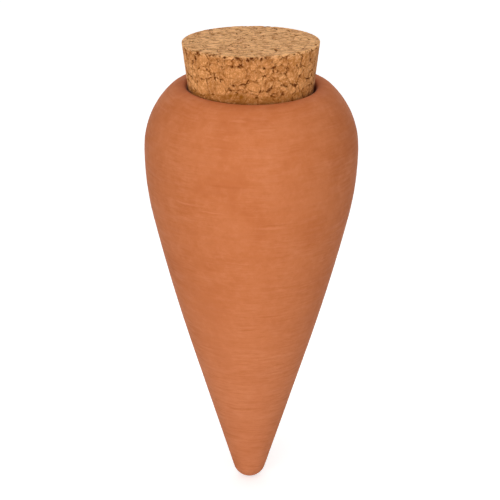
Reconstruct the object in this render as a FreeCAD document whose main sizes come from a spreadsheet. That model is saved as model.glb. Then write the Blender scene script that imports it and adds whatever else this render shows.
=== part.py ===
import FreeCAD, Part
import math
import os

import Sketcher

# A plant-watering cone: a hollow cone of fired clay, made as one piece, that is
# pushed into soil tip down and filled through its mouth, and a cork that closes it.
# Millimetres and degrees. The origin is the tip of the clay, and +Z points up.

SIZES = {
    # outside of the clay, from the tip up
    "tip_radius": 5.5,  # ball end of the tip
    "flank_arc": 670.0,  # radius of the long, faintly bulging stretch of the flank
    "flank_bend_angle": 4.1,  # how far that stretch turns
    "belly_arc": 100.0,  # radius from the flank up to the widest ring
    "belly_height": 117.7,  # widest ring above the tip
    "body_diameter": 70.0,  # across the widest ring
    "shoulder_rise": 20.9,  # top of the rim above the widest ring
    "rim_arc": 6.2,  # outer rounding of the rim
    "rim_arc_ratio": 0.7,  # most of the shoulder's width that this rounding may take
    # inside of the clay
    "wall": 5.5,  # clay thickness up to the widest ring
    "hollow_tip_radius": 3.0,  # rounded bottom of the water space
    "rim_depth": 5.0,  # clay from the top of the rim to the ceiling of the water space
    "lip_round": 1.6,  # rounding from the top of the rim into the throat
    "throat_round": 2.0,  # rounding from the throat into the water space
    # cork, and how it sits in the throat
    "cork_top_diameter": 45.0,
    "cork_length": 27.0,
    "cork_showing": 14.4,  # length of cork above the rim
    "cork_taper_angle": 7.5,  # from the cork's side to its own axis
    "cork_edge_round": 0.4,
    "seat_clearance": 0.6,  # level gap from the cork's side to the throat
    "cork_tilt_angle": 3.2,  # the cork was pushed in a little askew
    "cork_heading_angle": 100.0,  # which way its top leans, from +X towards +Y
    "cork_offset": 0.25,  # how far it sits off the cone's axis, towards -X
}

# how far from the axis the lip's rounding has its centre, beside the seated cork
LIP_REACH = (
    "(Sizes.cork_top_diameter / 2 - Sizes.cork_showing * tan(Sizes.cork_taper_angle)"
    " + Sizes.seat_clearance"
    " + Sizes.lip_round / cos(Sizes.cork_taper_angle)"
    " - Sizes.lip_round * tan(Sizes.cork_taper_angle))"
)

# a sketch's own order of the points of its lines and arcs
SPOTS = ("edge", "start", "end", "centre")
ORIGIN = (-1, SPOTS.index("start"))

doc = FreeCAD.newDocument("watering_cone")


def make_sheet():
    """Spreadsheet with one named cell for each size."""
    sheet = doc.addObject("Spreadsheet::Sheet", "Sizes")
    for row, (name, value) in enumerate(SIZES.items(), start=1):
        sheet.set(f"A{row}", name)
        sheet.set(f"B{row}", str(value))
        sheet.setAlias(f"B{row}", name)
    doc.recompute()


def size(name):
    """A size, read back from the sheet."""
    return float(getattr(doc.Sizes, name))


def angle(name):
    """An angle from the sheet, in radians."""
    return math.radians(size(name))


def point(x, y):
    return FreeCAD.Vector(x, y, 0)


def polar(centre, radius, direction):
    """Point at a distance from a centre, in a direction given in radians."""
    return centre + point(math.cos(direction), math.sin(direction)) * radius


def arc(centre, radius, start, end):
    """Anticlockwise arc between two directions in radians."""
    circle = Part.Circle(centre, FreeCAD.Vector(0, 0, 1), radius)
    return Part.ArcOfCircle(circle, start, end)


def line(start, end):
    return Part.LineSegment(start, end)


class Section:
    """Half of a turned section, sketched on a body's own upright plane by named edges."""

    def __init__(self, body, name, outline):
        upright = next(plane for plane in body.Origin.OriginFeatures if plane.Role == "XZ_Plane")
        self.sketch = body.newObject("Sketcher::SketchObject", name)
        self.sketch.AttachmentSupport = (upright, [""])
        self.sketch.MapMode = "FlatFace"
        self.edges = {edge: self.sketch.addGeometry(shape, False) for edge, shape in outline.items()}

    def at(self, place):
        """Sketch numbers of a place such as 'rim.end', of a whole edge, or of the origin."""
        if place == "origin":
            return ORIGIN
        edge, _, spot = place.partition(".")
        return (self.edges[edge], SPOTS.index(spot)) if spot else (self.edges[edge],)

    def fix(self, kind, *places):
        """Geometric constraint between places."""
        numbers = [number for place in places for number in self.at(place)]
        self.sketch.addConstraint(Sketcher.Constraint(kind, *numbers))

    def put_on_axis(self, place):
        upright_axis = -2  # the sketch's own number for it
        self.sketch.addConstraint(
            Sketcher.Constraint("PointOnObject", *self.at(place), upright_axis)
        )

    def bind(self, name, kind, places, value, formula):
        """Dimension with the value it was drawn with, tied to the sheet by a formula."""
        numbers = [number for place in places for number in self.at(place)]
        index = self.sketch.addConstraint(Sketcher.Constraint(kind, *numbers, value))
        self.sketch.renameConstraint(index, name)
        self.sketch.setExpression(f"Constraints.{name}", formula)


def turn(body, section, name):
    """Turn a half section right round the upright axis."""
    revolution = body.newObject("PartDesign::Revolution", name)
    revolution.Profile = section.sketch
    revolution.ReferenceAxis = (section.sketch, ["V_Axis"])
    revolution.Angle = 360.0
    return revolution


def add_body(label):
    body = doc.addObject("PartDesign::Body", label)
    body.Label = label
    return body


def flank_lean(widest, bend):
    """Lean of the straight flank at which the arcs above it end on the tip's ball."""
    tip, bulge, belly = size("tip_radius"), size("flank_arc"), size("belly_arc")
    across = widest.x - belly
    rise = widest.y - tip
    offset = tip - bulge - (belly - bulge) * math.cos(bend)
    return math.acos(offset / math.hypot(across, rise)) - math.atan2(rise, across)


def clay_outline():
    """Edges of the clay's half section, drawn where its constraints hold."""
    tip, bulge, belly = size("tip_radius"), size("flank_arc"), size("belly_arc")
    lip, throat, hollow_tip = size("lip_round"), size("throat_round"), size("hollow_tip_radius")
    wall, rise, taper = size("wall"), size("shoulder_rise"), angle("cork_taper_angle")
    widest = point(size("body_diameter") / 2, size("belly_height"))

    # from the tip to the widest ring
    lean = flank_lean(widest, angle("flank_bend_angle"))
    upper_lean = lean - angle("flank_bend_angle")
    tip_centre = point(0, tip)
    belly_centre = widest - point(belly, 0)
    bulge_centre = polar(belly_centre, belly - bulge, -upper_lean)
    hollow_centre = tip_centre + point(0, (hollow_tip - tip + wall) / math.sin(lean))

    # the rim and the lip meet level, straight above the centre of the lip
    cork_at_rim = size("cork_top_diameter") / 2 - size("cork_showing") * math.tan(taper)
    throat_at_rim = cork_at_rim + size("seat_clearance")
    lip_x = throat_at_rim + lip / math.cos(taper) - lip * math.tan(taper)
    ledge = widest.x - lip_x
    rim = min(size("rim_arc"), ledge * size("rim_arc_ratio"))
    shoulder = (rise ** 2 - 2 * rise * rim + ledge ** 2) / (2 * (ledge - rim))
    shoulder_centre = widest - point(shoulder, 0)
    rim_centre = point(lip_x, widest.y + rise - rim)
    lip_centre = point(lip_x, widest.y + rise - lip)
    rim_start = math.atan2(rim_centre.y - widest.y, rim_centre.x - shoulder_centre.x)

    # the hollow rounds over from the widest ring to the edge below the throat
    depth = size("rim_depth") - throat
    throat_x = throat_at_rim - depth * math.tan(taper) + throat / math.cos(taper)
    throat_centre = point(throat_x, widest.y + rise - depth)
    reach = widest.x - wall - throat_x
    height = rise - depth
    hollow = (reach ** 2 + height ** 2 - throat ** 2) / (2 * (reach + throat))
    vault_centre = widest - point(wall + hollow, 0)
    vault_end = math.atan2(height, throat_x - vault_centre.x)

    down = math.radians(-90)
    up = math.radians(90)
    half_turn = math.radians(180)
    return {
        "tip": arc(tip_centre, tip, down, -lean),
        "flank": line(polar(tip_centre, tip, -lean), polar(bulge_centre, bulge, -lean)),
        "bulge": arc(bulge_centre, bulge, -lean, -upper_lean),
        "belly": arc(belly_centre, belly, -upper_lean, 0),
        "shoulder": arc(shoulder_centre, shoulder, 0, rim_start),
        "rim": arc(rim_centre, rim, rim_start, up),
        "lip": arc(lip_centre, lip, up, half_turn - taper),
        "throat": line(
            polar(lip_centre, lip, half_turn - taper), polar(throat_centre, throat, half_turn - taper)
        ),
        "throat_edge": arc(throat_centre, throat, half_turn - taper, half_turn + vault_end),
        "vault": arc(vault_centre, hollow, 0, vault_end),
        "hollow_belly": arc(belly_centre, belly - wall, -upper_lean, 0),
        "hollow_bulge": arc(bulge_centre, bulge - wall, -lean, -upper_lean),
        "hollow_flank": line(
            polar(bulge_centre, bulge - wall, -lean), polar(hollow_centre, hollow_tip, -lean)
        ),
        "hollow_tip": arc(hollow_centre, hollow_tip, down, -lean),
        "core": line(polar(hollow_centre, hollow_tip, down), point(0, 0)),
    }


def make_cone():
    """Fired clay cone, turned from one closed half section."""
    cone = add_body("terracotta_cone")
    outline = clay_outline()
    section = Section(cone, "clay_section", outline)

    # every edge runs smoothly into the next, outside and inside
    section.fix("Tangent", "tip.end", "flank.start")
    section.fix("Tangent", "flank.end", "bulge.start")
    section.fix("Tangent", "bulge.end", "belly.start")
    section.fix("Tangent", "belly.end", "shoulder.start")
    section.fix("Tangent", "shoulder.end", "rim.start")
    section.fix("Tangent", "rim.end", "lip.start")
    section.fix("Tangent", "lip.end", "throat.start")
    section.fix("Tangent", "throat.end", "throat_edge.start")
    section.fix("Tangent", "throat_edge.end", "vault.end")
    section.fix("Tangent", "vault.start", "hollow_belly.end")
    section.fix("Tangent", "hollow_belly.start", "hollow_bulge.end")
    section.fix("Tangent", "hollow_bulge.start", "hollow_flank.start")
    section.fix("Tangent", "hollow_flank.end", "hollow_tip.end")

    # an even wall: the hollow's arcs share the centres of the outer ones
    section.fix("Coincident", "hollow_belly.centre", "belly.centre")
    section.fix("Coincident", "hollow_bulge.centre", "bulge.centre")
    section.fix("Parallel", "hollow_flank", "flank")

    # both ball ends stand on the axis, and the core line closes the section
    section.fix("Coincident", "tip.start", "origin")
    section.fix("Coincident", "core.end", "origin")
    section.fix("Coincident", "core.start", "hollow_tip.start")
    section.put_on_axis("tip.centre")
    section.put_on_axis("hollow_tip.centre")
    section.put_on_axis("hollow_tip.start")

    # upright at the widest ring, inside and out, and level at the top of the rim
    section.fix("Horizontal", "belly.centre", "belly.end")
    section.fix("Horizontal", "belly.centre", "vault.centre")
    section.fix("Vertical", "rim.centre", "lip.centre")

    ledge = f"(Sizes.body_diameter / 2 - {LIP_REACH})"
    radii = {
        "tip": "Sizes.tip_radius",
        "bulge": "Sizes.flank_arc",
        "belly": "Sizes.belly_arc",
        "rim": f"min(Sizes.rim_arc; {ledge} * Sizes.rim_arc_ratio)",
        "lip": "Sizes.lip_round",
        "throat_edge": "Sizes.throat_round",
        "hollow_belly": "Sizes.belly_arc - Sizes.wall",
        "hollow_tip": "Sizes.hollow_tip_radius",
    }
    widest = outline["belly"].EndPoint
    section.bind("half_width", "DistanceX", ("origin", "belly.end"), widest.x,
                 "Sizes.body_diameter / 2")
    section.bind("widest_height", "DistanceY", ("origin", "belly.end"), widest.y,
                 "Sizes.belly_height")
    section.bind("bend", "Angle", ("bulge",), angle("flank_bend_angle"), "Sizes.flank_bend_angle")
    section.bind("rise", "DistanceY", ("belly.end", "rim.end"), size("shoulder_rise"),
                 "Sizes.shoulder_rise")
    section.bind("throat_slope", "Angle", ("throat",), math.radians(-90) - angle("cork_taper_angle"),
                 "-90 - Sizes.cork_taper_angle")
    section.bind("lip_reach", "DistanceX", ("origin", "lip.centre"), outline["lip"].Center.x,
                 LIP_REACH)
    section.bind("ceiling", "DistanceY", ("throat_edge.centre", "rim.end"),
                 size("rim_depth") - size("throat_round"), "Sizes.rim_depth - Sizes.throat_round")
    for edge, formula in radii.items():
        section.bind(f"{edge}_radius", "Radius", (edge,), outline[edge].Radius, formula)
    turn(cone, section, "turned_clay")
    return cone


def make_stopper():
    """Tapered cork, drawn on its own axis with its origin level with the rim."""
    stopper = add_body("cork_stopper")
    slope = math.tan(angle("cork_taper_angle"))
    top = point(size("cork_top_diameter") / 2, size("cork_showing"))
    base = top - point(slope, 1) * size("cork_length")
    section = Section(stopper, "cork_section", {
        "base": line(point(0, base.y), base),
        "side": line(base, top),
        "top": line(top, point(0, top.y)),
        "core": line(point(0, top.y), point(0, base.y)),
    })
    section.fix("Coincident", "base.end", "side.start")
    section.fix("Coincident", "side.end", "top.start")
    section.fix("Coincident", "top.end", "core.start")
    section.fix("Coincident", "core.end", "base.start")
    section.fix("Horizontal", "base")
    section.fix("Horizontal", "top")
    section.put_on_axis("core.start")
    section.put_on_axis("core.end")
    section.bind("top_radius", "DistanceX", ("origin", "side.end"), top.x,
                 "Sizes.cork_top_diameter / 2")
    section.bind("showing", "DistanceY", ("origin", "side.end"), top.y, "Sizes.cork_showing")
    section.bind("length", "DistanceY", ("side.start", "side.end"), top.y - base.y,
                 "Sizes.cork_length")
    section.bind("side_slope", "Angle", ("side",), math.radians(90) - angle("cork_taper_angle"),
                 "90 - Sizes.cork_taper_angle")
    turned = turn(stopper, section, "turned_cork")
    doc.recompute()

    rims = [
        f"Edge{number}"
        for number, edge in enumerate(turned.Shape.Edges, start=1)
        if isinstance(edge.Curve, Part.Circle)
    ]
    rounded = stopper.newObject("PartDesign::Fillet", "rounded_edges")
    rounded.Base = (turned, rims)
    rounded.setExpression("Radius", "Sizes.cork_edge_round")
    return stopper


def seat(stopper):
    """Stand the cork in the mouth, tilted a little about a level axis through the rim's centre."""
    heading = angle("cork_heading_angle")
    rim_height = size("belly_height") + size("shoulder_rise")
    stopper.Placement = FreeCAD.Placement(
        FreeCAD.Vector(-size("cork_offset"), 0, rim_height),
        FreeCAD.Rotation(
            FreeCAD.Vector(-math.sin(heading), math.cos(heading), 0), size("cork_tilt_angle")
        ),
    )
    formulas = {
        "Base.x": "-Sizes.cork_offset",
        "Base.z": "Sizes.belly_height + Sizes.shoulder_rise",
        "Rotation.Axis.x": "-sin(Sizes.cork_heading_angle)",
        "Rotation.Axis.y": "cos(Sizes.cork_heading_angle)",
        "Rotation.Angle": "Sizes.cork_tilt_angle",
    }
    for setting, formula in formulas.items():
        stopper.setExpression(f"Placement.{setting}", formula)


def check(parts):
    """Stop if a feature failed, or if a piece is not one sound solid."""
    for item in doc.Objects:
        if "Invalid" in item.State or "Error" in item.State:
            raise RuntimeError(f"{item.Name} did not compute: {item.State}")
    for item in parts:
        if item.Shape.isNull() or not item.Shape.isValid() or len(item.Shape.Solids) != 1:
            raise RuntimeError(f"{item.Label} is not one valid solid")


def export(parts):
    """Write each piece to a file named after it."""
    os.makedirs("parts", exist_ok=True)
    for item in parts:
        item.Shape.exportStep(f"parts/{item.Label}.step")
        box = item.Shape.BoundBox
        print(f"{item.Label}: {item.Shape.Volume / 1000:.2f} cm3, z {box.ZMin:.2f} to {box.ZMax:.2f}")


make_sheet()
cone = make_cone()
stopper = make_stopper()
seat(stopper)
doc.recompute()
parts = [cone, stopper]
check(parts)
export(parts)
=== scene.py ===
import math

import bmesh
import bpy
from mathutils import Matrix, Vector


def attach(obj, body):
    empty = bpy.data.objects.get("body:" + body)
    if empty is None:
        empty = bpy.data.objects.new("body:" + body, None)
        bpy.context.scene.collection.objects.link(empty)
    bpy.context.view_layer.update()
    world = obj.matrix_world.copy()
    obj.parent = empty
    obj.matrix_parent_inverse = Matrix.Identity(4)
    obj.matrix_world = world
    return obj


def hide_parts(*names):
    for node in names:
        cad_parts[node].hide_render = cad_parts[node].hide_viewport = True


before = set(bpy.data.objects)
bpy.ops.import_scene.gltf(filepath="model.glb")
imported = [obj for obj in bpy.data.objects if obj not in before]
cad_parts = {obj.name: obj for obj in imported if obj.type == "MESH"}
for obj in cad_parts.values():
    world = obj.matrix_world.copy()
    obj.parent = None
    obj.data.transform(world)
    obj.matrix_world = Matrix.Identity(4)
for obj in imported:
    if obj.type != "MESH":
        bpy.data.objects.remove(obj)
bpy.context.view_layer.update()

# A watering cone of fired clay with a cork in its mouth.
# The scene and its studio are in metres. All other sizes are in millimetres, and angles are in degrees.
mm = 0.001

# Camera, at the photograph's angle

photoView = {
    "distance": 950.0,  # in front of the cone's axis
    "height": 429.6,  # above the tip
    "sideways": -0.24,
    "pitchDown": 20.137,
    "roll": 0.347,
    "lens": 220.06,
    "sensor": 36.0,
}


def makeCamera():
    lens = bpy.data.cameras.new("photoCamera")
    lens.lens = photoView["lens"]
    lens.sensor_width = photoView["sensor"]
    camera = bpy.data.objects.new("photoCamera", lens)
    bpy.context.scene.collection.objects.link(camera)
    place = Vector((photoView["sideways"], -photoView["distance"], photoView["height"])) * mm
    tilt = Matrix.Rotation(math.radians(90 - photoView["pitchDown"]), 4, "X")
    roll = Matrix.Rotation(math.radians(photoView["roll"]), 4, "Z")
    camera.matrix_world = Matrix.Translation(place) @ tilt @ roll
    bpy.context.scene.camera = camera


makeCamera()
print("camera ready")


# Node helpers, for shader trees and geometry trees alike

class Weaver:
    # adds nodes to one tree and hands back the sockets that come out of them

    def __init__(self, tree):
        self.tree = tree

    def node(self, kind, sockets=None, **settings):
        made = self.tree.nodes.new(kind)
        for name, value in settings.items():
            setattr(made, name, value)
        for name, value in (sockets or {}).items():
            self.feed(made.inputs[name], value)
        return made

    def feed(self, socket, value):
        if isinstance(value, bpy.types.NodeSocket):
            self.tree.links.new(value, socket)
        else:
            socket.default_value = value

    def math(self, operation, first, second):
        return self.node("ShaderNodeMath", {0: first, 1: second}, operation=operation).outputs[0]

    def vector(self, operation, first, second=(0, 0, 0)):
        made = self.node("ShaderNodeVectorMath", {0: first, 1: second}, operation=operation)
        return made.outputs["Value" if operation in ("LENGTH", "DISTANCE") else "Vector"]

    def scale(self, vector, factor):
        made = self.node("ShaderNodeVectorMath", {0: vector, "Scale": factor}, operation="SCALE")
        return made.outputs["Vector"]

    def ramp(self, value, span, ends=(0.0, 1.0), kind="SMOOTHSTEP"):
        # a value that goes through the span becomes one that goes from the first end to the last
        made = self.node("ShaderNodeMapRange", {
            "Value": value, "From Min": span[0], "From Max": span[1], "To Min": ends[0], "To Max": ends[1],
        }, interpolation_type=kind)
        return made.outputs["Result"]

    def noise(self, place, scale, detail=2.0, roughness=0.5):
        # the scale is per millimetre, one number or one for each axis
        if isinstance(scale, tuple):
            place, scale = self.vector("MULTIPLY", place, scale), 1.0
        made = self.node("ShaderNodeTexNoise", {
            "Vector": place, "Scale": scale, "Detail": detail, "Roughness": roughness,
        })
        return made.outputs[0]

    def wander(self, place, *shifts):
        # moves a place by noises, each with its scale and up to about its reach on each side
        moved = place
        for scale, reach in shifts:
            made = self.node("ShaderNodeTexNoise", {"Vector": place, "Scale": scale, "Detail": 2.0})
            shift = self.vector("SUBTRACT", made.outputs["Color"], (0.5, 0.5, 0.5))
            moved = self.vector("ADD", moved, self.scale(shift, 2 * reach))
        return moved

    def cells(self, vector, cellSize, feature):
        made = self.node("ShaderNodeTexVoronoi", {"Vector": vector, "Scale": 1 / cellSize}, feature=feature)
        return made.outputs

    def toEdge(self, vector, cellSize):
        # distance to the nearest edge between two cells
        return self.math("MULTIPLY", self.cells(vector, cellSize, "DISTANCE_TO_EDGE")["Distance"], cellSize)

    def blend(self, factor, first, second):
        made = self.node("ShaderNodeMix", {"Factor": factor}, data_type="RGBA")
        self.feed(made.inputs[6], first)
        self.feed(made.inputs[7], second)
        return made.outputs[2]

    def blendValue(self, factor, first, second):
        made = self.node("ShaderNodeMix", {"Factor": factor}, data_type="FLOAT")
        self.feed(made.inputs[2], first)
        self.feed(made.inputs[3], second)
        return made.outputs[0]

    def part(self, colour, channel):
        # one of X, Y and Z, which are the red, green and blue of a colour
        return self.node("ShaderNodeSeparateXYZ", {0: colour}).outputs[channel]

    def lay(self, colour, coats, masks, finishes):
        # lays coats over a colour in their order, each where its mask goes through its span
        for mask, start, full, strength, within, finish in coats:
            shown = self.ramp(masks[mask], (start, full), (0.0, strength))
            if within:
                shown = self.math("MULTIPLY", shown, masks[within])
            colour = self.blend(shown, colour, finishes[finish])
        return colour

    def show(self, kind, shader):
        # ends a material or a world with its output
        self.tree.links.new(shader.outputs[0], self.node(kind).inputs["Surface"])


def startMaterial(name):
    material = bpy.data.materials.new(name)
    material.use_nodes = True
    material.node_tree.nodes.clear()
    return material, Weaver(material.node_tree)


def makeGroup(name, treeKind, outputs, build):
    # a node group with a place in millimetres going in and the named outputs coming out
    tree = bpy.data.node_groups.new(name, treeKind)
    tree.interface.new_socket("Place", in_out="INPUT", socket_type="NodeSocketVector")
    for output, kind in outputs.items():
        tree.interface.new_socket(output, in_out="OUTPUT", socket_type=kind)
    start = tree.nodes.new("NodeGroupInput")
    end = tree.nodes.new("NodeGroupOutput")
    for output, socket in build(Weaver(tree), start.outputs["Place"]).items():
        tree.links.new(socket, end.inputs[output])
    return tree


def useGroup(weaver, kind, group, place):
    made = weaver.tree.nodes.new(kind)
    made.node_tree = group
    weaver.feed(made.inputs["Place"], place)
    return made.outputs


# Mesh helpers

mergeDistance = 0.0001  # of the two edges of a finished turn


def drawArc(bm, last, heading, radius, turn, steps):
    # goes on from a vertex in the XZ plane, a positive turn is to the left
    side = math.copysign(90, turn)
    towards = math.radians(heading + side)
    centre = last.co + Vector((math.cos(towards), 0, math.sin(towards))) * radius
    drawn = bmesh.ops.spin(bm, geom=[last], cent=centre, axis=(0, -1, 0), angle=math.radians(turn),
                           steps=steps, use_merge=False, use_normal_flip=False, use_duplicate=False)
    ends = [part for part in drawn["geom_last"] if isinstance(part, bmesh.types.BMVert)]
    return ends[0], heading + turn


def drawLine(bm, last, heading, length, steps):
    step = Vector((math.cos(math.radians(heading)), 0, math.sin(math.radians(heading)))) * length / steps
    for number in range(steps):
        drawn = bmesh.ops.extrude_vert_indiv(bm, verts=[last])
        last = drawn["verts"][0]
        bmesh.ops.translate(bm, verts=[last], vec=step)
    return last, heading


def turnOutline(bm, steps):
    bmesh.ops.spin(bm, geom=bm.verts[:] + bm.edges[:], cent=(0, 0, 0), axis=(0, 0, 1), angle=math.radians(360),
                   steps=steps, use_merge=True, use_normal_flip=False, use_duplicate=False)
    bmesh.ops.remove_doubles(bm, verts=bm.verts[:], dist=mergeDistance)
    bmesh.ops.recalc_face_normals(bm, faces=bm.faces[:])


def keepPlaces(bm, name):
    # the place of each vertex in millimetres, before relief and before it is set in the scene
    layer = bm.verts.layers.float_vector.new(name)
    for vertex in bm.verts:
        vertex[layer] = vertex.co


def makePiece(bm, name):
    for face in bm.faces:
        face.smooth = True
    mesh = bpy.data.meshes.new(name)
    bm.to_mesh(mesh)
    bm.free()
    piece = bpy.data.objects.new(name, mesh)
    bpy.context.scene.collection.objects.link(piece)
    return piece


def pressRelief(piece, placeName, build):
    # moves each vertex inwards by the depth in millimetres that build works out from its place
    tree = bpy.data.node_groups.new(piece.name + "Relief", "GeometryNodeTree")
    tree.interface.new_socket("Geometry", in_out="INPUT", socket_type="NodeSocketGeometry")
    tree.interface.new_socket("Geometry", in_out="OUTPUT", socket_type="NodeSocketGeometry")
    weaver = Weaver(tree)
    start = tree.nodes.new("NodeGroupInput")
    end = tree.nodes.new("NodeGroupOutput")
    place = weaver.node("GeometryNodeInputNamedAttribute", {"Name": placeName}, data_type="FLOAT_VECTOR")
    depth = weaver.math("MULTIPLY", build(weaver, place.outputs["Attribute"]), -mm)
    inwards = weaver.scale(weaver.node("GeometryNodeInputNormal").outputs[0], depth)
    move = weaver.node("GeometryNodeSetPosition", {"Geometry": start.outputs[0], "Offset": inwards})
    tree.links.new(move.outputs[0], end.inputs[0])
    relief = piece.modifiers.new("relief", "NODES")
    relief.node_group = tree
    shaped = piece.evaluated_get(bpy.context.evaluated_depsgraph_get())
    piece.data = bpy.data.meshes.new_from_object(shaped)
    piece.modifiers.clear()


# The clay cone

clayOutline = [  # from the tip up outside, over the rim and down inside: name, radius or length, turn, steps
    ("tip", 5.5, 72.3504, 14),
    ("flank", 46.4575, 0, 88),
    ("bulge", 670.0, 4.1, 92),
    ("belly", 100.0, 13.5496, 46),
    ("shoulder", 26.7437, 45.6882, 42),
    ("rim", 6.2, 44.3118, 14),
    ("lip", 1.6, 82.5, 10),
    ("throat", 1.3594, 0, 2),
    ("throat edge", 2.0, 59.2053, 8),
    ("vault", 20.8074, -51.7053, 12),
    ("hollow belly", 94.5, -13.5496, 12),
    ("hollow bulge", 664.5, -4.1, 18),
    ("hollow flank", 37.0286, 0, 14),
    ("hollow tip", 3.0, -72.3504, 6),
]
clayShape = {
    "stepsRound": 192,
    "rippleDepth": 0.03,
}
clayRings = {  # level noise from turning, stretched round the cone: scales, detail, roughness
    "Broad": ((0.035, 0.035, 0.28), 2.0, 0.50),
    "Streaks": ((0.10, 0.10, 0.92), 3.0, 0.58),
    "Fine": ((0.30, 0.30, 2.3), 2.0, 0.60),
}
clayPatches = {  # where the rings show
    "wander": (0.03, 0.8),  # of the rings: scale, reach
    "scale": 0.07,
    "span": (0.40, 0.62),
    "strength": (0.18, 1.0),
    "tipward": (75.0, 20.0),  # heights between which they get closer and clearer
    "tipwardStrength": (0.0, 0.9),
}
clayNoises = {  # scale, detail, roughness
    "clouds": (0.060, 4.0, 0.60),
    "mottle": (0.42, 4.0, 0.62),
    "sand": (2.2, 3.0, 0.65),
}
clayFinish = {
    "base": (0.578, 0.170, 0.055, 1),
    "pale": (0.613, 0.191, 0.068, 1),
    "paleSpan": (0.35, 0.68),  # of the clouds
    "deep": (0.490, 0.128, 0.036, 1),
    "paintedFloorLight": (0.700, 0.249, 0.112, 1),  # towards the tip: painted light, the white floor's bounce and reflection on the lower flank
    "paintedFloorLightWander": 15.0,
    "light": (0.700, 0.254, 0.112, 1),
    "noiseSpan": (0.3, 0.7),  # between which nearly all of a noise lies
    "roughness": 0.74,
    "roughnessReach": 0.08,  # on each side
    "sheen": 0.12,  # fine dust, seen along the edges
    "sheenRoughness": 0.16,
    "specular": 0.15,
    "grainStrength": 0.25,
    "grainHeight": 0.12,
    "sandShare": 0.5,  # of the grain, the rest is rings
}
clayCoats = [  # in the order laid: mask, where it starts, where it is full, strength, within, finish
    ("mottle", 0.50, 0.68, 0.22, None, "deep"),
    ("mottle", 0.50, 0.34, 0.20, None, "light"),
    # painted light from the white floor, stronger towards the tip
    ("height", 95.0, 5.0, 0.55, None, "paintedFloorLight"),
    ("Broad", 0.50, 0.66, 0.10, None, "deep"),
    ("Streaks", 0.50, 0.70, 0.24, "Patches", "deep"),
    ("Streaks", 0.50, 0.32, 0.22, "Patches", "light"),
    ("Fine", 0.52, 0.70, 0.19, "Patches", "deep"),
    ("Fine", 0.50, 0.34, 0.15, "Patches", "light"),
    ("clouds", 0.52, 0.38, 0.20, None, "deep"),
    ("sand", 0.56, 0.72, 0.22, None, "deep"),
]
markStrengths = {"deep": 0.42, "light": 0.36}
markWander = (0.35, 0.35)  # scale, reach
markFade = (0.3, 1.0)  # from the middle of a mark to its end
turningMarks = [  # clear marks of the tool: kind, azimuth, height, radius of the cone there, reach, thickness
    ("light", -128.0, 106.9, 34.4, 5.5, 0.36),
    ("deep", -127.0, 106.2, 34.4, 6.0, 0.42),
    ("light", -112.0, 105.4, 34.3, 7.0, 0.30),
    ("deep", -103.0, 114.8, 35.0, 8.0, 0.55),
    ("deep", -76.0, 101.6, 33.6, 7.0, 0.45),
    ("light", -79.0, 100.6, 33.6, 7.0, 0.60),
    ("deep", -77.0, 67.0, 25.0, 4.5, 0.45),
    ("light", -94.0, 62.9, 23.8, 4.5, 0.40),
    ("deep", -93.0, 61.8, 23.5, 4.0, 0.40),
    ("light", -98.5, 134.9, 28.6, 3.5, 0.50),
    ("deep", -93.0, 135.5, 28.1, 3.0, 0.45),
    ("light", -82.0, 132.6, 30.2, 5.0, 0.50),
]
ringOutputs = {name: "NodeSocketFloat" for name in (*clayRings, "Patches")}


def markStrength(weaver, place, kind):
    # how strongly the placed marks of one kind show
    found = 0.0
    for mark, azimuth, height, radius, reach, thickness in turningMarks:
        if mark != kind:
            continue
        turn = math.radians(azimuth)
        away = weaver.vector("SUBTRACT", place, (radius * math.cos(turn), radius * math.sin(turn), height))
        away = weaver.vector("MULTIPLY", away, (1 / reach, 1 / reach, 1 / thickness))
        found = weaver.math("MAXIMUM", weaver.ramp(weaver.vector("LENGTH", away), markFade, (1.0, 0.0)), found)
    return found


def ringPattern(weaver, place):
    # faint level marks from turning, strong in some places and missing in others
    wandering = weaver.wander(place, clayPatches["wander"])
    found = {name: weaver.noise(wandering, *noise) for name, noise in clayRings.items()}
    patches = weaver.noise(place, clayPatches["scale"])
    patches = weaver.ramp(patches, clayPatches["span"], clayPatches["strength"])
    tipward = weaver.ramp(weaver.part(place, "Z"), clayPatches["tipward"], clayPatches["tipwardStrength"])
    found["Patches"] = weaver.math("ADD", patches, tipward)
    return found


def makeClayMaterial():
    material, weaver = startMaterial("firedClay")
    place = weaver.node("ShaderNodeAttribute", attribute_name="clayPlace").outputs["Vector"]
    ringGroup = makeGroup("clayRings", "ShaderNodeTree", ringOutputs, ringPattern)
    masks = dict(useGroup(weaver, "ShaderNodeGroup", ringGroup, place).items())
    for name, noise in clayNoises.items():
        masks[name] = weaver.noise(place, *noise)
    reach = clayFinish["paintedFloorLightWander"]
    shift = weaver.ramp(masks["clouds"], clayFinish["noiseSpan"], (-reach, reach))
    masks["height"] = weaver.math("ADD", weaver.part(place, "Z"), shift)

    pale = weaver.ramp(masks["clouds"], clayFinish["paleSpan"])
    colour = weaver.blend(pale, clayFinish["base"], clayFinish["pale"])
    colour = weaver.lay(colour, clayCoats, masks, clayFinish)
    wandering = weaver.wander(place, markWander)
    for kind, strength in markStrengths.items():
        shown = weaver.math("MULTIPLY", markStrength(weaver, wandering, kind), strength)
        colour = weaver.blend(shown, colour, clayFinish[kind])

    middle, reach = clayFinish["roughness"], clayFinish["roughnessReach"]
    bump = weaver.node("ShaderNodeBump", {
        "Strength": clayFinish["grainStrength"],
        "Distance": clayFinish["grainHeight"] * mm,
        "Height": weaver.blendValue(clayFinish["sandShare"], masks["Fine"], masks["sand"]),
    })
    shader = weaver.node("ShaderNodeBsdfPrincipled", {
        "Base Color": colour,
        "Roughness": weaver.ramp(masks["Streaks"], clayFinish["noiseSpan"], (middle - reach, middle + reach)),
        "Sheen Weight": clayFinish["sheen"],
        "Sheen Roughness": clayFinish["sheenRoughness"],
        "Specular IOR Level": clayFinish["specular"],
        "Normal": bump.outputs[0],
    })
    weaver.show("ShaderNodeOutputMaterial", shader)
    return material


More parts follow.
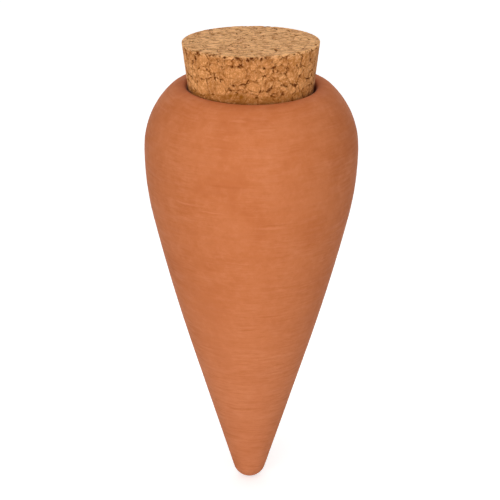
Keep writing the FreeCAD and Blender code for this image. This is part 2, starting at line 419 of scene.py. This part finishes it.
def makeClay():
    bm = bmesh.new()
    last = bm.verts.new((0, 0, 0))
    heading = 0
    for name, size, turn, steps in clayOutline:
        if turn:
            last, heading = drawArc(bm, last, heading, size, turn, steps)
        else:
            last, heading = drawLine(bm, last, heading, size, steps)
    last.co.x = 0  # the end of the outline lies on the axis
    turnOutline(bm, clayShape["stepsRound"])
    keepPlaces(bm, "clayPlace")
    bmesh.ops.scale(bm, vec=(mm, mm, mm), verts=bm.verts[:])
    piece = makePiece(bm, "clay_cone")
    ringGroup = makeGroup("clayRingsForRelief", "GeometryNodeTree", ringOutputs, ringPattern)

    def depth(weaver, place):
        rings = useGroup(weaver, "GeometryNodeGroup", ringGroup, place)
        waves = [weaver.ramp(rings[name], clayFinish["noiseSpan"]) for name in ("Streaks", "Broad")]
        return weaver.math("MULTIPLY", weaver.math("ADD", *waves), clayShape["rippleDepth"])

    pressRelief(piece, "clayPlace", depth)
    piece.data.materials.clear()
    piece.data.materials.append(makeClayMaterial())
    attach(piece, "cone")
    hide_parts("terracotta_cone")
    print("clay cone:", len(piece.data.polygons), "faces")


makeClay()


# The cork stopper

corkShape = {
    "topRadius": 22.5,
    "length": 27.0,
    "showing": 14.4,  # above the rim
    "taper": 7.5,
    "edgeRound": 0.4,
    "rimHeight": 138.6,
    "lean": 3.2,
    "heading": 100.0,  # which way its top leans, from +X towards +Y
    "offset": 0.25,  # towards -X
    "stepsRound": 400,
    "topRings": 62,
    "sideRings": 78,
    "baseRings": 36,
    "edgeRings": 4,
}
corkGranules = {
    "large": 4.3,  # spacing of the granules
    "small": 2.3,
    "splitShare": 0.55,  # large ones that are broken into small ones
    "crooked": (1.5, 0.30),  # their edges: scale, reach
    "uneven": (0.28, 0.55),  # their sizes: scale, reach
}
corkGaps = {  # between the granules
    "openness": (0.55, 3.0, 0.60),  # noise that says where they stand open: scale, detail, roughness
    "closed": 0.16,  # width on each side of an edge
    "open": 0.42,
    "widening": (0.40, 0.70),  # from closed to open
    "bottom": 0.2,  # share of the width that has the full depth
    "showing": (0.44, 0.64),
    "strength": (0.16, 1.0),
    "topStrength": 0.40,  # on the cut top, beside the side's 1
    "topBand": (0.6, 0.2),  # below the cut, from the side's strength to the top's
}
corkCorners = {  # pits where three granules meet
    "distance": (0.54, 0.66),  # from a granule's middle, in its own size
    "edge": (0.06, 0.26),
    "openness": (0.46, 0.58),
}
corkRelief = {  # depths
    "gaps": 0.20,
    "pits": 0.45,
    "rounded": (0.03, 0.0),  # from a granule's edge inwards
    "roundedSpan": (0.0, 0.7),
    "grain": 0.03,
    "grainNoise": (1.6, 3.0),  # scale, detail
}
placedGranules = [  # smooth rounded ones that stand out on the side: azimuth, height, half width, half height
    (-103.0, 8.6, 4.2, 2.1),
    (-87.3, 11.1, 1.5, 1.6),
    (-79.0, 1.3, 1.6, 1.4),
    (-87.3, 4.3, 2.0, 1.9),
    (-117.3, 2.6, 2.0, 1.9),
    (-136.4, 7.0, 2.2, 1.8),
    (-122.3, 9.6, 2.0, 1.8),
    (-102.2, 11.9, 1.1, 1.1),
    (-108.8, 12.2, 1.5, 1.1),
    (-87.0, 7.8, 1.4, 1.5),
]
placedTone = 0.55
placedWander = [(0.35, 1.1), (1.1, 0.55)]  # of their edges: scale, reach
sidePits = [  # open pits: azimuth, height above the rim, radius
    (-100.0, 11.0, 0.55),
    (-105.5, 4.5, 0.50),
    (-78.6, 10.3, 0.50),
    (-130.5, 8.8, 0.45),
    (-138.5, 5.3, 0.45),
    (-122.5, 14.1, 0.60),
    (-112.0, 13.8, 0.60),
    (-101.2, 13.9, 0.75),
    (-89.3, 13.9, 0.75),
    (-78.0, 14.0, 0.50),
    (-51.5, 14.0, 0.50),
    (-84.7, 0.5, 0.55),
    (-47.5, 10.0, 0.45),
    (-71.5, 0.9, 0.45),
]
topPits = [  # azimuth, distance from the middle, radius
    (-135.3, 5.3, 0.50),
    (-145.2, 7.8, 0.45),
    (-13.0, 11.3, 0.45),
    (-42.6, 18.3, 0.50),
    (6.9, 19.3, 0.40),
    (13.1, 16.7, 0.50),
]
pitEdges = {
    "wall": (-0.35, 0.15),  # from the full depth to none, on both sides of the radius
    "wobbleScale": 0.9,
    "wobbleSpan": (0.25, 0.75),
    "wobble": (0.55, 1.45),  # distances are stretched by this much
}
farAway = 99.0  # further than anything on the cork
corkOutputs = {
    "Gap": "NodeSocketFloat",
    "Pit": "NodeSocketFloat",
    "Edge": "NodeSocketFloat",
    "Tone": "NodeSocketFloat",
    "Turn": "NodeSocketColor",
}


def onCorkSide(azimuth, height):
    turn = math.radians(azimuth)
    drop = corkShape["showing"] - height
    radius = corkShape["topRadius"] - drop * math.tan(math.radians(corkShape["taper"]))
    return (radius * math.cos(turn), radius * math.sin(turn), height)


def onCorkTop(azimuth, distance):
    turn = math.radians(azimuth)
    return (distance * math.cos(turn), distance * math.sin(turn), corkShape["showing"])


def belowCut(weaver, place):
    return weaver.math("SUBTRACT", corkShape["showing"], weaver.part(place, "Z"))


def nearestPit(weaver, place, wobble):
    # signed distance to the nearest placed pit
    pits = [(onCorkSide(azimuth, height), radius) for azimuth, height, radius in sidePits]
    pits += [(onCorkTop(azimuth, distance), radius) for azimuth, distance, radius in topPits]
    found = farAway
    for middle, radius in pits:
        reach = weaver.vector("DISTANCE", place, middle)
        reach = weaver.math("SUBTRACT", weaver.math("MULTIPLY", reach, wobble), radius)
        found = weaver.math("MINIMUM", reach, found)
    return found


def placedEdge(weaver, place):
    # signed distance to the outline of the nearest placed granule, less than nothing inside it
    found = farAway
    for azimuth, height, wide, high in placedGranules:
        away = weaver.vector("SUBTRACT", place, onCorkSide(azimuth, height))
        away = weaver.vector("MULTIPLY", away, (high / wide, high / wide, 1.0))
        found = weaver.math("MINIMUM", weaver.math("SUBTRACT", weaver.vector("LENGTH", away), high), found)
    return found


def corkPattern(weaver, place):
    # pressed granules of two sizes, with the gaps and pits between them
    large, small = corkGranules["large"], corkGranules["small"]
    crooked = weaver.wander(place, corkGranules["crooked"], corkGranules["uneven"])
    largeCells = weaver.cells(crooked, large, "F1")
    smallCells = weaver.cells(crooked, small, "F1")
    largeEdge = weaver.toEdge(crooked, large)
    smallEdge = weaver.toEdge(crooked, small)
    split = weaver.math("LESS_THAN", weaver.part(largeCells["Color"], "Z"), corkGranules["splitShare"])
    edge = weaver.blendValue(split, largeEdge, weaver.math("MINIMUM", largeEdge, smallEdge))
    colour = weaver.blend(split, largeCells["Color"], smallCells["Color"])

    openness = weaver.noise(place, *corkGaps["openness"])
    distance = weaver.blendValue(split, largeCells["Distance"], smallCells["Distance"])
    corners = weaver.math("MULTIPLY", weaver.ramp(distance, corkCorners["distance"]),
                          weaver.ramp(edge, corkCorners["edge"], (1.0, 0.0)))
    corners = weaver.math("MULTIPLY", corners, weaver.ramp(openness, corkCorners["openness"]))

    # the placed granules take the room of those that the cells give
    spot = placedEdge(weaver, weaver.wander(place, *placedWander))
    inside = weaver.math("LESS_THAN", spot, 0.0)
    edge = weaver.blendValue(inside, weaver.math("MINIMUM", edge, spot), weaver.math("MULTIPLY", spot, -1.0))
    tone = weaver.blendValue(inside, weaver.part(colour, "Y"), placedTone)
    corners = weaver.math("MULTIPLY", corners, weaver.math("SUBTRACT", 1.0, inside))

    width = weaver.ramp(openness, corkGaps["widening"], (corkGaps["closed"], corkGaps["open"]), "LINEAR")
    gap = weaver.ramp(edge, (weaver.math("MULTIPLY", width, corkGaps["bottom"]), width), (1.0, 0.0))
    gap = weaver.math("MULTIPLY", gap, weaver.ramp(openness, corkGaps["showing"], corkGaps["strength"]))
    onTop = weaver.ramp(belowCut(weaver, place), corkGaps["topBand"], (1.0, corkGaps["topStrength"]))
    gap = weaver.math("MULTIPLY", gap, onTop)

    wobble = weaver.noise(place, pitEdges["wobbleScale"])
    wobble = weaver.ramp(wobble, pitEdges["wobbleSpan"], pitEdges["wobble"], "LINEAR")
    pit = weaver.ramp(nearestPit(weaver, place, wobble), pitEdges["wall"], (1.0, 0.0))
    pit = weaver.math("MAXIMUM", pit, corners)
    return {"Gap": gap, "Pit": pit, "Edge": edge, "Tone": tone, "Turn": colour}


corkNoises = {  # scale, detail, roughness
    "specks": (1.6, 3.0, 0.65),
    "torn": ((0.44, 1.30, 1.0), 4.0, 0.72),
    "browned": (0.42, 4.0, 0.70),
}
grainNoise = ((0.7, 0.7, 3.2), 4.0, 0.60)  # long fibres, with a direction of its own in each granule
corkFinish = {
    "tones": [
        (0.00, (0.560, 0.226, 0.062, 1)),
        (0.35, (0.635, 0.268, 0.079, 1)),
        (0.70, (0.695, 0.308, 0.096, 1)),
        (1.00, (0.765, 0.372, 0.131, 1)),
    ],
    "grain": (0.440, 0.165, 0.045, 1),
    "pale": (0.940, 0.550, 0.250, 1),
    # the cut top: partly its own dust, partly painted light on the face turned up
    "dustAndTopLight": (0.975, 0.590, 0.260, 1),
    "torn": (0.470, 0.195, 0.058, 1),
    "gap": (0.300, 0.088, 0.016, 1),
    "gapStrength": 0.80,
    # painted shade in the hollows of the pits and of the corners between granules
    "pit": (0.145, 0.034, 0.006, 1),
    "borderShade": (0.34, 0.24),  # painted shade on the granules' rounded sides: how much they darken towards their edges, on the side and on the top
    "topBand": (1.2, 0.6),  # below the cut, from the side's finish to the top's
    "roughness": 0.72,
    "gapRoughness": 0.95,
    "sheen": 0.10,  # loose fibres and dust, seen along the edges
    "sheenRoughness": 0.25,
    "specular": 0.05,
    "bumpStrength": 0.6,
    "bumpHeight": 0.3,
    "specksShare": 0.4,  # of the bump, the rest is grain
}
corkCoats = [  # in the order laid: mask, where it starts, where it is full, strength, within, finish
    ("grain", 0.48, 0.70, 0.75, None, "grain"),
    ("grain", 0.52, 0.32, 0.50, None, "pale"),
    # the top paler: partly dust, partly painted light
    ("belowCut", 1.2, 0.6, 0.62, None, "dustAndTopLight"),
    ("specks", 0.53, 0.66, 0.55, None, "grain"),
    ("specks", 0.47, 0.34, 0.50, None, "pale"),
    ("torn", 0.51, 0.59, 0.95, "top", "torn"),  # crumbs torn out by the cut
    ("torn", 0.49, 0.41, 0.95, "top", "pale"),
    # painted shade towards each granule's edge
    ("edge", 0.55, 0.05, 1.00, "borderShade", "grain"),
    ("browned", 0.52, 0.66, 0.42, None, "grain"),
]
rimGrimeAndShade = {  # grime along the rim with painted shade where the cork goes into the clay, thickest at the front left
    "colour": (0.330, 0.108, 0.012, 1),
    "height": (0.1, 1.5),
    "strength": (0.56, 0.0),
    "patchAzimuth": -103.0,
    "patchHeight": 0.8,
    "patchReach": (3.846, 3.846, 1.25),
    "patchFade": (0.4, 1.2),
    "patchStrength": (0.95, 0.0),
    "blotches": (0.38, 0.58),
    "blotchStrength": (0.40, 1.1),
}


# how strongly the rim's grime and painted shade show
def rimDarkeningStrength(weaver, place, blotches):
    grimeAndShade = weaver.ramp(weaver.part(place, "Z"), rimGrimeAndShade["height"], rimGrimeAndShade["strength"])
    away = weaver.vector("SUBTRACT", place, onCorkSide(rimGrimeAndShade["patchAzimuth"], rimGrimeAndShade["patchHeight"]))
    away = weaver.vector("LENGTH", weaver.vector("DIVIDE", away, rimGrimeAndShade["patchReach"]))
    patch = weaver.ramp(away, rimGrimeAndShade["patchFade"], rimGrimeAndShade["patchStrength"])
    blotches = weaver.ramp(blotches, rimGrimeAndShade["blotches"], rimGrimeAndShade["blotchStrength"])
    return weaver.math("MULTIPLY", weaver.math("MAXIMUM", grimeAndShade, patch), blotches)


def makeCorkMaterial():
    material, weaver = startMaterial("pressedCork")
    place = weaver.node("ShaderNodeAttribute", attribute_name="corkPlace").outputs["Vector"]
    patternGroup = makeGroup("corkPattern", "ShaderNodeTree", corkOutputs, corkPattern)
    pattern = useGroup(weaver, "ShaderNodeGroup", patternGroup, place)
    masks = {name: weaver.noise(place, *noise) for name, noise in corkNoises.items()}
    turned = weaver.node("ShaderNodeVectorRotate", {
        "Vector": place, "Rotation": weaver.scale(pattern["Turn"], math.tau),
    }, rotation_type="EULER_XYZ").outputs[0]
    masks["grain"] = weaver.noise(turned, *grainNoise)
    masks["belowCut"] = belowCut(weaver, place)
    masks["top"] = weaver.ramp(masks["belowCut"], corkFinish["topBand"])
    masks["edge"] = pattern["Edge"]
    masks["borderShade"] = weaver.blendValue(masks["top"], *corkFinish["borderShade"])

    tones = weaver.node("ShaderNodeValToRGB", {"Fac": pattern["Tone"]})
    stops = tones.color_ramp.elements
    while len(stops) < len(corkFinish["tones"]):
        stops.new(0.5)
    for stop, (position, colour) in zip(stops, corkFinish["tones"]):
        stop.position = position
        stop.color = colour
    colour = weaver.lay(tones.outputs["Color"], corkCoats, masks, corkFinish)
    gaps = weaver.math("MULTIPLY", pattern["Gap"], corkFinish["gapStrength"])
    colour = weaver.blend(gaps, colour, corkFinish["gap"])
    # pits and corners darkened with painted shade
    colour = weaver.blend(pattern["Pit"], colour, corkFinish["pit"])
    # grime and painted shade along the rim
    colour = weaver.blend(rimDarkeningStrength(weaver, place, masks["browned"]), colour, rimGrimeAndShade["colour"])

    bump = weaver.node("ShaderNodeBump", {
        "Strength": corkFinish["bumpStrength"],
        "Distance": corkFinish["bumpHeight"] * mm,
        "Height": weaver.blendValue(corkFinish["specksShare"], masks["grain"], masks["specks"]),
    })
    roughness = (corkFinish["roughness"], corkFinish["gapRoughness"])
    shader = weaver.node("ShaderNodeBsdfPrincipled", {
        "Base Color": colour,
        "Roughness": weaver.ramp(pattern["Gap"], (0.0, 1.0), roughness),
        "Diffuse Roughness": 1.0,
        "Sheen Weight": corkFinish["sheen"],
        "Sheen Roughness": corkFinish["sheenRoughness"],
        "Specular IOR Level": corkFinish["specular"],
        "Normal": bump.outputs[0],
    })
    weaver.show("ShaderNodeOutputMaterial", shader)
    return material


def drawCork(bm):
    # from the middle of the base to the middle of the top, with the rim's height at 0
    slope = math.radians(corkShape["taper"])
    length, edgeRound, edgeRings = corkShape["length"], corkShape["edgeRound"], corkShape["edgeRings"]
    baseBend, topBend = 90 - corkShape["taper"], 90 + corkShape["taper"]
    baseTrim = edgeRound * math.tan(math.radians(baseBend / 2))
    topTrim = edgeRound * math.tan(math.radians(topBend / 2))
    baseRadius = corkShape["topRadius"] - length * math.tan(slope)
    sideLength = length / math.cos(slope) - topTrim - baseTrim

    last = bm.verts.new((0, 0, corkShape["showing"] - length))
    last, heading = drawLine(bm, last, 0, baseRadius - baseTrim, corkShape["baseRings"])
    last, heading = drawArc(bm, last, heading, edgeRound, baseBend, edgeRings)
    last, heading = drawLine(bm, last, heading, sideLength, corkShape["sideRings"])
    last, heading = drawArc(bm, last, heading, edgeRound, topBend, edgeRings)
    last, heading = drawLine(bm, last, heading, corkShape["topRadius"] - topTrim, corkShape["topRings"])
    last.co.x = 0


def makeCork():
    bm = bmesh.new()
    drawCork(bm)
    turnOutline(bm, corkShape["stepsRound"])
    keepPlaces(bm, "corkPlace")
    turn = math.radians(corkShape["heading"])
    lean = Matrix.Rotation(math.radians(corkShape["lean"]), 4, Vector((-math.sin(turn), math.cos(turn), 0)))
    seat = Matrix.Translation((-corkShape["offset"], 0, corkShape["rimHeight"]))
    bmesh.ops.transform(bm, matrix=Matrix.Scale(mm, 4) @ seat @ lean, verts=bm.verts[:])
    piece = makePiece(bm, "cork_plug")
    patternGroup = makeGroup("corkPatternForRelief", "GeometryNodeTree", corkOutputs, corkPattern)

    def depth(weaver, place):
        pattern = useGroup(weaver, "GeometryNodeGroup", patternGroup, place)
        gaps = weaver.math("MULTIPLY", pattern["Gap"], corkRelief["gaps"])
        pits = weaver.math("MULTIPLY", pattern["Pit"], corkRelief["pits"])
        rounded = weaver.ramp(pattern["Edge"], corkRelief["roundedSpan"], corkRelief["rounded"])
        grain = weaver.math("MULTIPLY", weaver.noise(place, *corkRelief["grainNoise"]), corkRelief["grain"])
        return weaver.math("ADD", weaver.math("MAXIMUM", gaps, pits), weaver.math("ADD", rounded, grain))

    pressRelief(piece, "corkPlace", depth)
    piece.data.materials.clear()
    piece.data.materials.append(makeCorkMaterial())
    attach(piece, "stopper")
    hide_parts("cork_stopper")
    print("cork:", len(piece.data.polygons), "faces")


makeCork()


# Floor and light

studio = {  # in metres
    "floorSize": 8.0,
    "floorColour": (0.84, 0.84, 0.84, 1),
    "floorWhite": 0.58,  # added for the camera and for gloss, so that the floor is white round its shadow
    "frontLight": 0.05,  # of the room before the object
    "backLight": 1.28,  # of the white backdrop behind it
    "backSpan": (0.1, 1.0),  # how far back it goes from the one to the other
    "lampTarget": (0.0, 0.0, 0.08),
}
studioLamps = {  # place and size in metres, power in watts
    "leftLight": ((-0.47, -1.22, 0.43), 0.9, 8.5),
    "rightLight": ((0.38, -1.30, 0.22), 0.9, 6.35),
    "topLight": ((0.0, -0.19, 1.33), 1.0, 6.9),
}


def makeFloor():
    bm = bmesh.new()
    bmesh.ops.create_grid(bm, x_segments=1, y_segments=1, size=studio["floorSize"] / 2)
    floor = makePiece(bm, "studio_floor")
    material, weaver = startMaterial("paleFloor")
    matte = weaver.node("ShaderNodeBsdfDiffuse", {"Color": studio["floorColour"]})
    path = weaver.node("ShaderNodeLightPath")
    seen = weaver.math("MAXIMUM", path.outputs["Is Camera Ray"], path.outputs["Is Glossy Ray"])
    glow = weaver.node("ShaderNodeEmission", {"Strength": weaver.math("MULTIPLY", seen, studio["floorWhite"])})
    both = weaver.node("ShaderNodeAddShader", {0: matte.outputs[0], 1: glow.outputs[0]})
    weaver.show("ShaderNodeOutputMaterial", both)
    floor.data.materials.append(material)


def makeLamp(name, place, size, power):
    lamp = bpy.data.lights.new(name, "AREA")
    lamp.size = size
    lamp.energy = power
    holder = bpy.data.objects.new(name, lamp)
    bpy.context.scene.collection.objects.link(holder)
    holder.location = place
    aim = Vector(studio["lampTarget"]) - Vector(place)
    holder.rotation_euler = aim.to_track_quat("-Z", "Y").to_euler()


def makeWorld():
    world = bpy.data.worlds.new("softWhite")
    world.use_nodes = True
    bpy.context.scene.world = world
    world.node_tree.nodes.clear()
    weaver = Weaver(world.node_tree)
    path = weaver.node("ShaderNodeLightPath")
    back = weaver.part(weaver.node("ShaderNodeTexCoord").outputs["Generated"], "Y")
    room = weaver.ramp(back, studio["backSpan"], (studio["frontLight"], studio["backLight"]), "LINEAR")
    strength = weaver.blendValue(path.outputs["Is Camera Ray"], room, 1.0)
    light = weaver.node("ShaderNodeBackground", {"Color": (1, 1, 1, 1), "Strength": strength})
    weaver.show("ShaderNodeOutputWorld", light)


makeFloor()
for name, lampValues in studioLamps.items():
    makeLamp(name, *lampValues)
makeWorld()
bpy.context.scene.view_settings.view_transform = "Standard"
print("floor and light ready")
